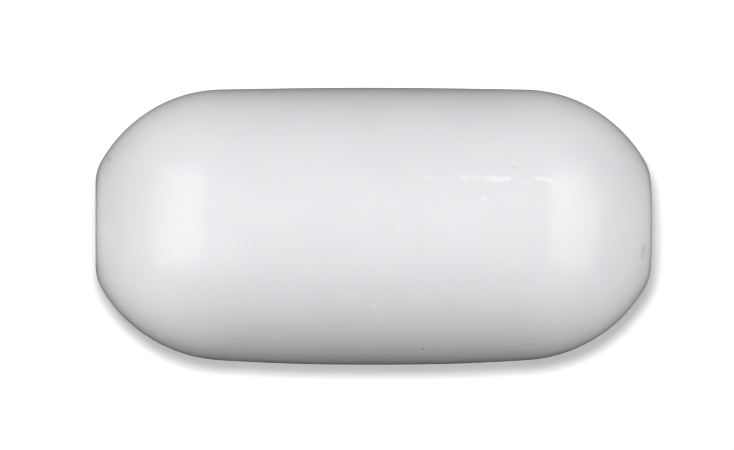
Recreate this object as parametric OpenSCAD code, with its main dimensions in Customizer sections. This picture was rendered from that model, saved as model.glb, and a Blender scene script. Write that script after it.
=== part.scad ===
// Magnetic stir bar: a rod magnet sealed in a smooth moulded jacket.
// It stands on one end face, with its axis on Z and that face on z = 0.

/* [Bar] */
// Length over the two end faces
bar_length = 16; // [13:0.5:60]
// Diameter at mid-length, where the barrel is widest
bar_diameter = 8; // [6.5:0.1:10]
// Fall of the barrel's crown from mid-length to the plane of an end face
crown_drop = 0.3; // [0.05:0.05:0.6]
// Radius of the shoulder between the barrel and an end
shoulder_radius = 4.15; // [3:0.05:7]
// Radius of the rounded edge around an end face
edge_radius = 1.3; // [0.2:0.1:1.6]
// Diameter of the flat on each end
end_face_diameter = 2.4; // [1:0.1:3.2]

/* [Jacket wall] */
// Thickness of the jacket at mid-length
side_wall = 1.5; // [0.8:0.1:2.5]
// Thickness of the jacket behind an end face
end_wall = 2; // [1.2:0.1:4]

/* [Magnet] */
// Chamfer on the magnet's two edges
magnet_chamfer = 0.3; // [0.1:0.05:0.8]
// Gap between the magnet and its pocket, all round
pocket_gap = 0.02; // [0.01:0.01:0.1]

/* [Hidden] */

// Smoothness of circles, and the most that an arc of the outline may stand off its chords
$fn = 96;
arc_sag = 0.0005;

bar_radius = bar_diameter / 2;
half_length = bar_length / 2;
magnet_radius = bar_radius - side_wall - pocket_gap;
magnet_length = bar_length - 2 * (end_wall + pocket_gap);

// Profile points are [distance from mid-length, distance from the axis], and an angle is
// measured from the outward radius towards the end: 0 at mid-length, 90 on the end face.
// The crown arc passes mid-length and lies crown_drop lower in the plane of the end face.
crown_radius = half_length * half_length / (2 * crown_drop) + crown_drop / 2;
crown_centre = [0, bar_radius - crown_radius];

// The edge arc touches the end face where its flat stops.
edge_centre = [half_length - edge_radius, end_face_diameter / 2];

// The shoulder arc touches the crown arc and the edge arc from inside, so its centre is the
// third corner of a triangle with the other two centres.
crown_side = crown_radius - shoulder_radius;
edge_side = shoulder_radius - edge_radius;
centre_line = edge_centre - crown_centre;
base = norm(centre_line);
base_angle = atan2(centre_line[0], centre_line[1]);
crown_end = base_angle - corner_angle(crown_side, base, edge_side);
shoulder_end = base_angle + corner_angle(edge_side, base, crown_side);
shoulder_centre = crown_centre + crown_side * unit_at(crown_end);

// Angle between sides a and b of a triangle, from its three sides
function corner_angle(a, b, opposite) = acos((a * a + b * b - opposite * opposite) / (2 * a * b));

function unit_at(angle) = [sin(angle), cos(angle)];

// Points along an arc, without its first
function arc(centre, radius, from, to) =
    let (steps = ceil((to - from) / (2 * acos(1 - arc_sag / radius))))
    [for (i = [1 : steps]) centre + radius * unit_at(from + (to - from) * i / steps)];

half_profile = concat(
    arc(crown_centre, crown_radius, 0, crown_end),
    arc(shoulder_centre, shoulder_radius, crown_end, shoulder_end),
    arc(edge_centre, edge_radius, shoulder_end, 90)
);

// Outline of the whole bar on one side of its axis, as [radius, height] for a revolve
function outline() = concat(
    [[0, half_length]],
    [for (i = [len(half_profile) - 1 : -1 : 0]) [half_profile[i][1], half_profile[i][0]]],
    [[bar_radius, 0]],
    [for (p = half_profile) [p[1], -p[0]]],
    [[0, -half_length]]
);

// Lifts what is centred on the origin until the lower end face lies on z = 0
module on_end() {
    translate([0, 0, half_length])
        children();
}

// A plain rod about Z, chamfered at both ends
module rod(radius, length, chamfer) {
    rotate_extrude()
        polygon([
            [0, -length / 2],
            [radius - chamfer, -length / 2],
            [radius, chamfer - length / 2],
            [radius, length / 2 - chamfer],
            [radius - chamfer, length / 2],
            [0, length / 2]
        ]);
}

// Seamless jacket with the closed pocket that holds the magnet
module jacket() {
    color([0.91, 0.91, 0.92])
        on_end()
            difference() {
                rotate_extrude()
                    polygon(outline());
                rod(magnet_radius + pocket_gap, magnet_length + 2 * pocket_gap, magnet_chamfer);
            }
}

// Rod magnet, with a pole at each end
module magnet() {
    color([0.42, 0.43, 0.45])
        on_end()
            rod(magnet_radius, magnet_length, magnet_chamfer);
}

jacket();
magnet();
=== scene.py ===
"""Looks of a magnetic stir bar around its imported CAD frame: a smooth white jacket over a rod magnet.

The bar stands on one end face, with its axis on Z. The photograph shows it lying level, so the
camera looks along +Y and is rolled a quarter turn: right in the picture is +Z and up is -X.
"""

import math

import bpy
from mathutils import Matrix, Vector, noise


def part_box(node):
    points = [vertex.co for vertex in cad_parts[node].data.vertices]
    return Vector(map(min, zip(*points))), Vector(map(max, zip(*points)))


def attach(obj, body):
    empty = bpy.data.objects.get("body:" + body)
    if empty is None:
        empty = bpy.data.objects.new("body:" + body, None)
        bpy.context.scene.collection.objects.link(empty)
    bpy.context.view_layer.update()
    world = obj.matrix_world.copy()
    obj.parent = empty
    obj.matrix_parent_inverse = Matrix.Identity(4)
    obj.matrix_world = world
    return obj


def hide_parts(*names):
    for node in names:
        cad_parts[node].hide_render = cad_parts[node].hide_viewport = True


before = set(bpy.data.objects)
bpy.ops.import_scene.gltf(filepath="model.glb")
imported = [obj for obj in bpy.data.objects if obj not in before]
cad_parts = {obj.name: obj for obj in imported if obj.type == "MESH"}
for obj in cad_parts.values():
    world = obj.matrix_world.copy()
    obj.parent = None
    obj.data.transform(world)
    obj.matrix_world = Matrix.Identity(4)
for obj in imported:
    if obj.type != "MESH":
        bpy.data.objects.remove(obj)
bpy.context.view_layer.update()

MM = 0.001

# The photograph's frame
IMAGE_WIDTH_PX = 734
BAR_LENGTH_PX = 554.8
BAR_CENTRE_PX = (373.1, 226.2)
IMAGE_CENTRE_PX = (367, 225)

# The jacket's outline, as in the part's source
bar_low, bar_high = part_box("jacket")
BAR_LENGTH = bar_high.z - bar_low.z
BAR_RADIUS = bar_high.x
CROWN_DROP = 0.3 * MM
SHOULDER_RADIUS = 4.15 * MM
EDGE_RADIUS = 1.3 * MM
END_FACE_RADIUS = 1.2 * MM

# The skin's mesh, and how far it departs from true
SEGMENTS = 320
RING_STEP = 0.09 * MM
WAVE_HEIGHT = 0.004 * MM
WAVE_LENGTH = 2.5 * MM
BOW = 0.055 * MM
BOW_REACH = 0.75

HALF_LENGTH = BAR_LENGTH / 2
MM_PER_PX = BAR_LENGTH / BAR_LENGTH_PX
MIDDLE = Vector((0, 0, bar_low.z + HALF_LENGTH))

PICTURE_RIGHT = Vector((0, 0, 1))
PICTURE_UP = Vector((-1, 0, 0))
TO_CAMERA = Vector((0, -1, 0))


def from_picture(right, up, near):
    """A direction or distance, given along the picture's axes, in the frame's axes"""
    return right * PICTURE_RIGHT + up * PICTURE_UP + near * TO_CAMERA


# Jacket skin

def unit_at(angle):
    return Vector((math.sin(angle), math.cos(angle)))


def corner_angle(a, b, opposite):
    """Angle between sides a and b of a triangle"""
    return math.acos((a * a + b * b - opposite * opposite) / (2 * a * b))


def arc(centre, radius, start, end):
    """(distance from mid-length, radius, slope) along an arc, without its first point"""
    steps = math.ceil(radius * (end - start) / RING_STEP)
    for i in range(1, steps + 1):
        angle = start + (end - start) * i / steps
        point = centre + radius * unit_at(angle)
        yield point.x, point.y, angle


def half_profile():
    """The outline from mid-length to the end face's centre, by three arcs that touch and a flat"""
    crown_radius = HALF_LENGTH ** 2 / (2 * CROWN_DROP) + CROWN_DROP / 2
    crown_centre = Vector((0, BAR_RADIUS - crown_radius))
    edge_centre = Vector((HALF_LENGTH - EDGE_RADIUS, END_FACE_RADIUS))
    crown_side = crown_radius - SHOULDER_RADIUS
    edge_side = SHOULDER_RADIUS - EDGE_RADIUS
    centre_line = edge_centre - crown_centre
    base = centre_line.length
    base_angle = math.atan2(centre_line.x, centre_line.y)
    crown_end = base_angle - corner_angle(crown_side, base, edge_side)
    shoulder_end = base_angle + corner_angle(edge_side, base, crown_side)
    shoulder_centre = crown_centre + crown_side * unit_at(crown_end)
    yield from arc(crown_centre, crown_radius, 0, crown_end)
    yield from arc(shoulder_centre, SHOULDER_RADIUS, crown_end, shoulder_end)
    yield from arc(edge_centre, EDGE_RADIUS, shoulder_end, math.pi / 2)
    flat_steps = math.ceil(END_FACE_RADIUS / (2 * RING_STEP))
    for i in range(1, flat_steps):
        yield HALF_LENGTH, END_FACE_RADIUS * (1 - i / flat_steps), math.pi / 2


def skin_point(ring, segment):
    """A point of the skin, with a moulded jacket's faint waves, none on the end faces, and its bow"""
    along, radius, slope = ring
    turn = 2 * math.pi * segment / SEGMENTS
    outward = Vector((math.cos(turn), math.sin(turn), 0))
    point = MIDDLE + radius * outward + Vector((0, 0, along))
    normal = math.cos(slope) * outward + Vector((0, 0, math.sin(slope)))
    wave = noise.noise(point / WAVE_LENGTH) * WAVE_HEIGHT * math.cos(slope)
    share = min(1, abs(along) / (BOW_REACH * HALF_LENGTH))
    bow = BOW * math.sin(share * math.pi / 2) ** 4 * PICTURE_UP
    return point + (wave - WAVE_HEIGHT) * math.cos(slope) * normal + bow


def jacket_skin():
    upper = list(half_profile())
    lower = [(-along, radius, -slope) for along, radius, slope in reversed(upper)]
    rings = lower + [(0, BAR_RADIUS, 0)] + upper
    points = [skin_point(ring, segment) for ring in rings for segment in range(SEGMENTS)]
    poles = [MIDDLE + BOW * PICTURE_UP + side * HALF_LENGTH * PICTURE_RIGHT for side in (-1, 1)]
    bottom, top = len(points), len(points) + 1
    last_row = (len(rings) - 1) * SEGMENTS
    faces = []
    for segment in range(SEGMENTS):
        following = (segment + 1) % SEGMENTS
        for row in range(0, last_row, SEGMENTS):
            faces.append((row + segment, row + following,
                          row + SEGMENTS + following, row + SEGMENTS + segment))
        faces.append((following, segment, bottom))
        faces.append((last_row + segment, last_row + following, top))
    mesh = bpy.data.meshes.new("jacket_skin")
    mesh.from_pydata(points + poles, [], faces)
    mesh.shade_smooth()
    skin = bpy.data.objects.new("jacket_skin", mesh)
    bpy.context.scene.collection.objects.link(skin)
    return skin


# Materials

class Nodes:
    """Short forms for building a node tree"""

    def __init__(self, tree):
        self.tree = tree
        tree.nodes.clear()

    def add(self, kind, settings=None, **inputs):
        """A node of that kind. An input is a value or another node's output socket."""
        node = self.tree.nodes.new(kind)
        for name, value in (settings or {}).items():
            setattr(node, name, value)
        for name, value in inputs.items():
            self.set(node.inputs[name.replace("_", " ")], value)
        return node

    def set(self, socket, value):
        if isinstance(value, bpy.types.NodeSocket):
            self.tree.links.new(value, socket)
        else:
            socket.default_value = value

    def math(self, operation, first, second=0.0):
        node = self.add("ShaderNodeMath", {"operation": operation})
        self.set(node.inputs[0], first)
        self.set(node.inputs[1], second)
        return node.outputs[0]

    def noise(self, place, scale, detail=3.0):
        return self.add("ShaderNodeTexNoise", Vector=place, Scale=scale, Detail=detail).outputs["Fac"]

    def ramp(self, value, *stops):
        """A colour ramp through (position, colour) stops"""
        node = self.add("ShaderNodeValToRGB", Fac=value)
        while len(node.color_ramp.elements) < len(stops):
            node.color_ramp.elements.new(0)
        for element, (position, colour) in zip(node.color_ramp.elements, stops):
            element.position = position
            element.color = (*colour, 1)
        return node.outputs["Color"]

    def span(self, value, low, high, to_low, to_high):
        """A value between low and high, moved to lie between two other bounds"""
        node = self.add("ShaderNodeMapRange", Value=value)
        bounds = {"From Min": low, "From Max": high, "To Min": to_low, "To Max": to_high}
        for name, bound in bounds.items():
            node.inputs[name].default_value = bound
        return node.outputs["Result"]


def new_material(name):
    material = bpy.data.materials.new(name)
    material.use_nodes = True
    return material, Nodes(material.node_tree)


# Marks on the side that the photograph shows. Each is a soft ellipse: its place to the right of the
# bar's middle and above it, its half-length and half-width, all in mm, its turn in degrees from
# level, and its strength.
# Painted highlights: streaks of reflected light along the upper edge of the softbox reflections, drawn
# lighter in the colour.
PAINTED_GLINTS = (
    (-1.25, 1.4, 1.6, 0.1, 0, 0.12),
    (1.55, 1.41, 0.12, 0.07, 0, 0.4),
    (1.9, 1.37, 0.5, 0.05, -4, 0.3),
    (2.6, 1.38, 0.14, 0.09, -20, 0.6),
    (2.9, 1.42, 0.3, 0.09, 3, 0.5),
    (3.5, 1.35, 0.4, 0.1, -4, 0.75),
    (3.8, 1.35, 0.35, 0.11, 0, 0.9),
    (4.4, 1.26, 0.25, 0.06, -8, 0.35),
    (4.9, 1.34, 0.34, 0.09, -7, 0.9),
    (5.25, 1.15, 0.34, 0.15, -55, 0.4),
    (3.22, 0.8, 0.15, 0.06, 5, 0.7),
)
# Light specks. The last three are a painted highlight on the rim of a small pit.
LIGHT_SPECKS = (
    (-3.92, 2.39, 0.08, 0.08, 0, 0.3),
    (-2.83, -3.2, 0.2, 0.08, 10, 0.25),
    (-1.73, -2.02, 0.09, 0.07, 0, 0.45),
    (-1.73, 1.38, 0.12, 0.07, 0, 0.3),
    (0.05, -2.31, 0.08, 0.08, 0, 0.6),
    (0.14, -2.62, 0.09, 0.06, 0, 0.5),
    (2.91, 2.68, 0.09, 0.07, 0, 0.3),
    (3.74, -2.36, 0.1, 0.07, 20, 0.35),
    (1.36, -3.47, 0.06, 0.05, 0, 0.6),
    (1.53, -3.47, 0.06, 0.05, 0, 0.6),
    (1.45, -3.6, 0.07, 0.05, 0, 0.6),
)
# Dark marks: a speck of dirt, painted shade inside a small pit, and three dark spots at the rim of the
# end faces.
DARK_SPECKS = (
    (4.09, 1.66, 0.07, 0.06, 0, 0.35),
    (1.44, -3.52, 0.08, 0.06, 0, 0.7),
    (-7.6, 1.93, 0.08, 0.1, 0, 0.3),
    (7.88, -0.62, 0.12, 0.18, 0, 0.4),
    (7.86, -0.84, 0.1, 0.14, 0, 0.3),
)
THROUGH = 1000 * MM
MARK_EDGE = 0.6


def marks(n, place, rows):
    """How strong a set of marks is, the same right through the bar

    The camera sees the bar's near side a little larger than its middle, so a mark is moved to suit.
    """
    total = 0.0
    for right, up, half_length, half_width, turn, strength in rows:
        nearer = math.sqrt(BAR_RADIUS ** 2 - (up * MM) ** 2) / CAMERA_DISTANCE
        seen_right = right * MM - nearer * (HALF_LENGTH + right * MM)
        spot = n.add("ShaderNodeMapping", {"vector_type": "TEXTURE"}, Vector=place,
                     Location=MIDDLE + from_picture(seen_right, up * MM, 0),
                     Rotation=(0, -math.radians(turn), 0),
                     Scale=(half_width * MM, THROUGH, half_length * MM))
        soft = n.add("ShaderNodeTexGradient", {"gradient_type": "SPHERICAL"}, Vector=spot.outputs[0])
        total = n.math("ADD", n.span(soft.outputs["Fac"], 0, MARK_EDGE, 0, strength), total)
    return total


def blend_colour(n, share, first, second):
    node = n.add("ShaderNodeMix", {"data_type": "RGBA"})
    n.set(node.inputs[0], share)
    n.set(node.inputs[6], first)
    n.set(node.inputs[7], second)
    return node.outputs[2]


# The jacket's finish. Places are in metres, so a scale is in waves per metre.
CLOUD_SCALE = 420
CLOUD_RANGE = (0.3, 0.7)
JACKET_DARK = (0.792, 0.792, 0.817)
JACKET_LIGHT = (0.823, 0.823, 0.848)
# The colour of light scuffs, light specks and painted highlights
WEAR_AND_GLINT_COLOUR = (0.9, 0.9, 0.915, 1)
# The colour of a dirt speck, of painted shade in a pit and of dark spots at the rim
DIRT_AND_SHADE_COLOUR = (0.5, 0.5, 0.52, 1)
RAGGED_SCALE = 4000
RAGGED_REACH = 0.15 * MM
HIDDEN_SCUFF_SCALE = (3000, 3000, 700)
HIDDEN_SCUFF_RANGE = (0.74, 0.84)
HIDDEN_SCUFF_STRENGTH = 0.7
JACKET_ROUGHNESS = (0.07, 0.1)
GRAIN_SCALE = 6000
GRAIN_HEIGHT = 0.02 * MM


def ragged_place(n, place):
    """A place that wanders a little along the bar and across it, for ragged edges of marks"""
    wander = n.add("ShaderNodeTexNoise", Vector=place, Scale=RAGGED_SCALE, Detail=2.0).outputs["Color"]
    offset = n.add("ShaderNodeVectorMath", {"operation": "SUBTRACT"})
    n.set(offset.inputs[0], wander)
    n.set(offset.inputs[1], (0.5, 0.5, 0.5))
    moved = n.add("ShaderNodeVectorMath", {"operation": "MULTIPLY_ADD"})
    n.set(moved.inputs[0], offset.outputs[0])
    n.set(moved.inputs[1], (RAGGED_REACH, 0, RAGGED_REACH))
    n.set(moved.inputs[2], place)
    return moved.outputs[0]


def white_fluoropolymer():
    """Moulded PTFE: a cool white with a soft gloss, a faint cloudiness, light scuffs on the far side, a
    few specks, painted highlights drawn as light streaks and painted shade in a small pit
    """
    material, n = new_material("white_fluoropolymer")
    place = n.add("ShaderNodeTexCoord").outputs["Object"]
    clouds = n.noise(place, CLOUD_SCALE)
    ragged = ragged_place(n, place)
    depth = n.add("ShaderNodeSeparateXYZ", Vector=place).outputs["Y"]
    shown = n.math("LESS_THAN", depth, 0.0)
    drawn_out = n.add("ShaderNodeMapping", Vector=place, Scale=HIDDEN_SCUFF_SCALE).outputs[0]
    scattered = n.span(n.noise(drawn_out, 1, 1.0), *HIDDEN_SCUFF_RANGE, 0, HIDDEN_SCUFF_STRENGTH)
    # Light scuffs on the far side. On the near side, light specks and painted highlights lighten the
    # colour.
    wear_specks_and_glints = n.add("ShaderNodeMix", {"data_type": "FLOAT"}, Factor=shown, A=scattered,
                    B=marks(n, ragged, PAINTED_GLINTS + LIGHT_SPECKS)).outputs["Result"]
    # A dirt speck, painted shade in a pit and dark spots at the rim darken the colour on the near side.
    dirt_and_shade = n.math("MULTIPLY", marks(n, ragged, DARK_SPECKS), shown)
    colour = n.ramp(clouds, (CLOUD_RANGE[0], JACKET_DARK), (CLOUD_RANGE[1], JACKET_LIGHT))
    colour = blend_colour(n, wear_specks_and_glints, colour, WEAR_AND_GLINT_COLOUR)
    colour = blend_colour(n, dirt_and_shade, colour, DIRT_AND_SHADE_COLOUR)
    grain = n.noise(place, GRAIN_SCALE)
    roughness = n.span(clouds, *CLOUD_RANGE, *JACKET_ROUGHNESS)
    bump = n.add("ShaderNodeBump", Strength=0.02, Distance=GRAIN_HEIGHT, Height=grain)
    shader = n.add("ShaderNodeBsdfPrincipled", Roughness=roughness, IOR=1.5, Normal=bump.outputs[0])
    n.set(shader.inputs["Base Color"], colour)
    output = n.add("ShaderNodeOutputMaterial")
    n.set(output.inputs["Surface"], shader.outputs[0])
    return material


# The magnet's finish
ALLOY_GRAIN_SCALE = 2500
ALLOY_DARK = (0.13, 0.135, 0.145)
ALLOY_LIGHT = (0.2, 0.205, 0.215)
ALLOY_RANGE = (0.3, 0.7)
GRINDING_SCALE = (300, 300, 20000)
GRINDING_DEPTH = 0.01 * MM
ALLOY_ROUGHNESS = (0.35, 0.5)


def cast_magnet_alloy():
    """Ground cast alloy: grey metal with a coarse grain and fine marks round the rod"""
    material, n = new_material("cast_magnet_alloy")
    place = n.add("ShaderNodeTexCoord").outputs["Object"]
    grain = n.noise(place, ALLOY_GRAIN_SCALE, 6.0)
    colour = n.ramp(grain, (ALLOY_RANGE[0], ALLOY_DARK), (ALLOY_RANGE[1], ALLOY_LIGHT))
    stretched = n.add("ShaderNodeMapping", Vector=place, Scale=GRINDING_SCALE).outputs[0]
    grinding = n.noise(stretched, 1, 2.0)
    roughness = n.span(grinding, *ALLOY_RANGE, *ALLOY_ROUGHNESS)
    bump = n.add("ShaderNodeBump", Strength=0.2, Distance=GRINDING_DEPTH, Height=grinding)
    shader = n.add("ShaderNodeBsdfPrincipled", Metallic=1.0, Roughness=roughness, Normal=bump.outputs[0])
    n.set(shader.inputs["Base Color"], colour)
    output = n.add("ShaderNodeOutputMaterial")
    n.set(output.inputs["Surface"], shader.outputs[0])
    return material


# Stage: papers that only the camera sees, and sheets that only the bar's gloss meets. A shade is
# how white a paper is where its lamp doesn't reach it, and PAPER is what it gives back of that lamp.
PAPER = 0.8
FLOOR_SHADE = 0.72
FLOOR_SIZE = 0.4
BACKDROP_SHADE = 0.35
BACKDROP_SIZE = 0.05
BACKDROP_GAP = 0.01 * MM
DOME_RADIUS = 0.3
SHEET_REACH = 8
SHEET_GLOW = 0.3
SCREEN_DEPTH = 2.6 * MM


def one_sided(name, glow, lit):
    """White that glows by itself and takes the rest from a lamp, and is clear from behind"""
    material, n = new_material(name)
    emission = n.add("ShaderNodeEmission", Strength=glow)
    diffuse = n.add("ShaderNodeBsdfDiffuse", Color=(lit, lit, lit, 1))
    front = n.add("ShaderNodeAddShader")
    n.set(front.inputs[0], emission.outputs[0])
    n.set(front.inputs[1], diffuse.outputs[0])
    side = n.add("ShaderNodeMixShader", Fac=n.add("ShaderNodeNewGeometry").outputs["Backfacing"])
    n.set(side.inputs[1], front.outputs[0])
    n.set(side.inputs[2], n.add("ShaderNodeBsdfTransparent").outputs[0])
    output = n.add("ShaderNodeOutputMaterial")
    n.set(output.inputs["Surface"], side.outputs[0])
    return material


def on_stage(stage_piece, material):
    stage_piece.data.materials.append(material)
    stage_piece.visible_shadow = False
    stage_piece.visible_diffuse = False
    stage_piece.visible_glossy = False
    stage_piece.visible_transmission = False
    return stage_piece


def paper(name, centre, out, size, shade):
    turn = out.to_track_quat("Z", "Y").to_euler()
    bpy.ops.mesh.primitive_plane_add(size=size, location=centre, rotation=turn)
    bpy.context.object.name = name
    return on_stage(bpy.context.object, one_sided(name, shade, PAPER))


def white_dome():
    """White all round, behind the papers"""
    bpy.ops.mesh.primitive_ico_sphere_add(subdivisions=4, radius=DOME_RADIUS, location=MIDDLE)
    dome = bpy.context.object
    dome.name = "dome"
    dome.data.flip_normals()
    return on_stage(dome, one_sided("dome", 1, 0))


def sheet_round_bar(name, depth, glow):
    """An unseen sheet at that depth behind the bar's middle, with a hole that the bar fills"""
    rings = [(0, BAR_RADIUS)] + [(along, radius) for along, radius, slope in half_profile()]
    cut = [(along, radius) for along, radius in rings if radius > abs(depth)]
    upper = [(along, math.sqrt(radius ** 2 - depth ** 2)) for along, radius in cut]
    right = upper + [(upper[-1][0], 0)] + [(along, -half) for along, half in reversed(upper)]
    loop = right + [(-along, half) for along, half in reversed(right[1:-1])]
    points = []
    for along, half in loop:
        points.append(MIDDLE + from_picture(along, half, -depth))
        points.append(MIDDLE + from_picture(SHEET_REACH * along, SHEET_REACH * half, -depth))
    count = len(points)
    faces = [(i, i + 1, (i + 3) % count, (i + 2) % count) for i in range(0, count, 2)]
    mesh = bpy.data.meshes.new(name)
    mesh.from_pydata(points, [], faces)
    sheet = bpy.data.objects.new(name, mesh)
    bpy.context.scene.collection.objects.link(sheet)
    on_stage(sheet, one_sided(name, glow, 0))
    sheet.visible_camera = False
    return sheet


def dark_screen(name, depth):
    """Keeps softboxes on one side of the bar out of the gloss of what lies behind that depth"""
    screen = sheet_round_bar(name, depth, 0)
    if depth > 0:
        screen.data.flip_normals()
    screen.visible_shadow = True
    return screen


# Light. A softbox has its name, its angle from the camera's side, its half-width, its lower and
# upper edge as shares of its distance, and its radiance. Its gloss is weaker than its light, and its
# light starts a little higher.
SOFTBOX_DISTANCE = 0.1
SOFTBOXES = (
    ("left", math.radians(-43.2), math.radians(22), -0.625, 1.04, 2.56),
    ("right", math.radians(45), math.radians(20.7), -0.665, 0.95, 2.56),
    ("front", 0, math.radians(20), -0.33, 0.9, 0.31),
)
GLOSS_SHARE = 0.68
LIGHT_LIFT = 0.05
BACK_SOFTBOX = ("back_gloss", math.pi, math.radians(50), 0.3, 1, 1.8)

# A fill has its name, its direction, its width and its strength.
FILLS = (
    ("top_fill", from_picture(0, 1, -0.3), math.radians(60), 0.14),
    ("back_fill", from_picture(0, 0, -1), math.radians(6), 3),
)

# A bulb has its name, its offset from the bar's middle and its power in watts.
BULBS = (
    ("lower_left_bulb", from_picture(-11, -6.5, 4.8) * MM, 0.00053),
    ("lower_right_bulb", from_picture(11.2, -6.8, 3.8) * MM, 0.00047),
    ("upper_left_bulb", from_picture(-10.3, 10, 0.6) * MM, 0.00076),
    ("upper_right_bulb", from_picture(10.3, 10.2, 0.3) * MM, 0.00068),
)
BULB_RADIUS = 3 * MM

# The lamps of the two papers, each with the share of white that it adds where nothing is in its way
FLOOR_SUN_DIRECTION = Vector((-0.4, -0.5, 1))
FLOOR_SUN_WIDTH = math.radians(30)
FLOOR_SUN_SHARE = 1.3 * (1 - FLOOR_SHADE)
BACKDROP_LAMP_PLACE = (-7 * MM, 13.3 * MM, 185 * MM)
BACKDROP_LAMP_WIDTH = 20 * MM
BACKDROP_LAMP_SHARE = 1.1 * (1 - BACKDROP_SHADE)

WORLD_LOW = (0.004, 0.004, 0.004)
WORLD_HIGH = (0.02, 0.02, 0.02)


def collection_of(name, objects):
    group = bpy.data.collections.new(name)
    for member in objects:
        group.objects.link(member)
    return group


def aim_lamp(lamp, receivers, blockers):
    """Lets a lamp shine on some objects alone, with some alone in its way"""
    lamp.light_linking.receiver_collection = collection_of(lamp.name + "_on", receivers)
    lamp.light_linking.blocker_collection = collection_of(lamp.name + "_by", blockers)


def new_lamp(name, kind):
    lamp = bpy.data.objects.new(name, bpy.data.lights.new(name, kind))
    lamp.visible_camera = False
    bpy.context.scene.collection.objects.link(lamp)
    return lamp


def softbox(name, side, half_width, low, high, radiance):
    """An upright panel at an angle to the picture's side, from low to high, as shares of its distance"""
    lamp = new_lamp(name, "AREA")
    outward = from_picture(math.sin(side), 0, math.cos(side))
    across = from_picture(math.cos(side), 0, -math.sin(side))
    centre = MIDDLE + SOFTBOX_DISTANCE * (outward + (low + high) / 2 * PICTURE_UP)
    turn = Matrix((across, PICTURE_UP, outward)).transposed()
    lamp.matrix_world = Matrix.LocRotScale(centre, turn.to_quaternion(), None)
    lamp.data.shape = "RECTANGLE"
    lamp.data.size = 2 * SOFTBOX_DISTANCE * math.tan(half_width)
    lamp.data.size_y = SOFTBOX_DISTANCE * (high - low)
    lamp.data.energy = radiance * math.pi * lamp.data.size * lamp.data.size_y
    return lamp


def sun(name, direction, width, share):
    """A far lamp that adds that share of white to paper that faces it"""
    lamp = new_lamp(name, "SUN")
    lamp.rotation_euler = direction.to_track_quat("Z", "Y").to_euler()
    lamp.data.angle = width
    lamp.data.energy = share * math.pi / PAPER
    return lamp


def disc(name, right, up, near, width, share):
    """A round lamp at that place from the bar's middle, adding that share of white to the paper"""
    lamp = new_lamp(name, "AREA")
    reach = from_picture(right, up, near)
    lamp.matrix_world = Matrix.LocRotScale(MIDDLE + reach, reach.to_track_quat("Z", "Y"), None)
    lamp.data.shape = "DISK"
    lamp.data.size = width
    lamp.data.energy = share * (math.pi * near) ** 2 / PAPER
    return lamp


def fill(name, direction, width, strength):
    """A broad far lamp that leaves no highlight"""
    lamp = new_lamp(name, "SUN")
    lamp.rotation_euler = direction.to_track_quat("Z", "Y").to_euler()
    lamp.data.angle = width
    lamp.data.energy = strength
    lamp.visible_glossy = False
    return lamp


def bulb(name, offset, watts):
    """A small soft lamp at that offset from the bar's middle, which leaves no highlight"""
    lamp = new_lamp(name, "POINT")
    lamp.location = MIDDLE + offset
    lamp.data.shadow_soft_size = BULB_RADIUS
    lamp.data.energy = watts
    lamp.visible_glossy = False
    return lamp


def dim_world():
    """Dim surroundings for the bar to reflect, lighter towards the picture's top"""
    world = bpy.data.worlds.new("dim_studio")
    bpy.context.scene.world = world
    world.use_nodes = True
    n = Nodes(world.node_tree)
    heading = n.add("ShaderNodeSeparateXYZ", Vector=n.add("ShaderNodeTexCoord").outputs["Generated"])
    height = n.span(heading.outputs["X"], 1, -1, 0, 1)
    light = n.add("ShaderNodeBackground", Color=n.ramp(height, (0, WORLD_LOW), (1, WORLD_HIGH)))
    output = n.add("ShaderNodeOutputWorld")
    n.set(output.inputs["Surface"], light.outputs[0])


# Camera

CAMERA_DISTANCE = 0.4
EYE_BELOW_FLOOR = 0.5 * MM


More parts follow.
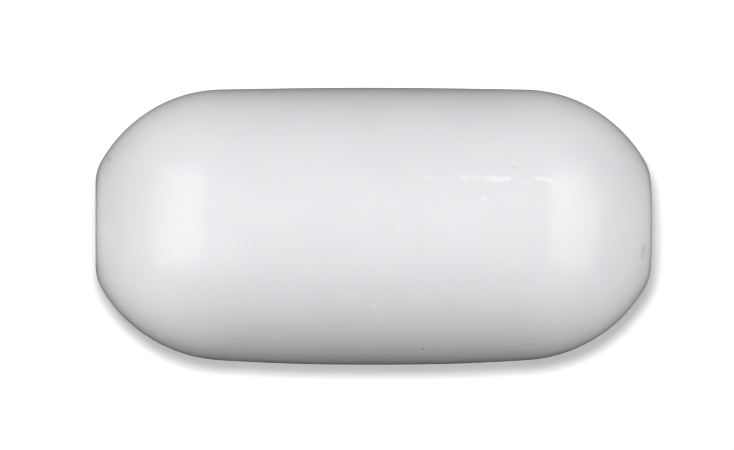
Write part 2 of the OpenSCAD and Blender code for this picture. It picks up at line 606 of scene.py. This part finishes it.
def photo_camera():
    """The photograph's view, from far off and a hair below the floor, which is clear from there"""
    data = bpy.data.cameras.new("camera")
    camera = bpy.data.objects.new("camera", data)
    off_right = (IMAGE_CENTRE_PX[0] - BAR_CENTRE_PX[0]) * MM_PER_PX
    off_up = (BAR_CENTRE_PX[1] - IMAGE_CENTRE_PX[1]) * MM_PER_PX
    aim = MIDDLE + from_picture(off_right, off_up, 0)
    eye = Vector((aim.x, -CAMERA_DISTANCE, -EYE_BELOW_FLOOR))
    back = (eye - aim).normalized()
    right = (PICTURE_RIGHT - PICTURE_RIGHT.dot(back) * back).normalized()
    turn = Matrix((right, back.cross(right), back)).transposed()
    camera.matrix_world = Matrix.LocRotScale(eye, turn.to_quaternion(), None)
    data.sensor_width = 36
    data.lens = data.sensor_width * (eye - aim).length / (IMAGE_WIDTH_PX * MM_PER_PX)
    data.clip_start = 0.01
    data.clip_end = 10
    bpy.context.scene.collection.objects.link(camera)
    bpy.context.scene.camera = camera


# The object
skin = jacket_skin()
skin.data.materials.append(white_fluoropolymer())
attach(skin, "root")
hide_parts("jacket")

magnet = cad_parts["magnet"]
magnet.data.materials.clear()
magnet.data.materials.append(cast_magnet_alloy())

# The stage and its lamps
floor_centre = Vector((0, 0, bar_low.z))
floor = paper("floor", floor_centre, Vector((0, 0, 1)), FLOOR_SIZE, FLOOR_SHADE)
backdrop_centre = MIDDLE - (BAR_RADIUS + BACKDROP_GAP) * TO_CAMERA
backdrop = paper("backdrop", backdrop_centre, TO_CAMERA, BACKDROP_SIZE, BACKDROP_SHADE)
white_dome()
glow_sheet = sheet_round_bar("glow_sheet", 0, SHEET_GLOW)
glow_sheet.visible_glossy = True
front_screen = dark_screen("front_screen", -SCREEN_DEPTH)
back_screen = dark_screen("back_screen", SCREEN_DEPTH)
floor_sun = sun("floor_sun", FLOOR_SUN_DIRECTION, FLOOR_SUN_WIDTH, FLOOR_SUN_SHARE)
aim_lamp(floor_sun, [floor], [skin])
backdrop_lamp = disc("backdrop_lamp", *BACKDROP_LAMP_PLACE, BACKDROP_LAMP_WIDTH, BACKDROP_LAMP_SHARE)
aim_lamp(backdrop_lamp, [backdrop], [skin])

# The bar's own lamps: each front softbox is one lamp for light and one for gloss
for name, side, half_width, low, high, radiance in SOFTBOXES:
    light = softbox(name + "_light", side, half_width, low + LIGHT_LIFT, high, radiance)
    light.visible_glossy = False
    aim_lamp(light, [skin, magnet], [skin])
    gloss = softbox(name + "_gloss", side, half_width, low, high, GLOSS_SHARE * radiance)
    gloss.visible_diffuse = False
    aim_lamp(gloss, [skin, magnet], [skin, front_screen])
back_gloss = softbox(*BACK_SOFTBOX)
back_gloss.visible_diffuse = False
aim_lamp(back_gloss, [skin, magnet], [skin, back_screen])
for lamp in [fill(*row) for row in FILLS] + [bulb(*row) for row in BULBS]:
    aim_lamp(lamp, [skin, magnet], [skin])
dim_world()
photo_camera()

bpy.context.scene.view_settings.view_transform = "Standard"
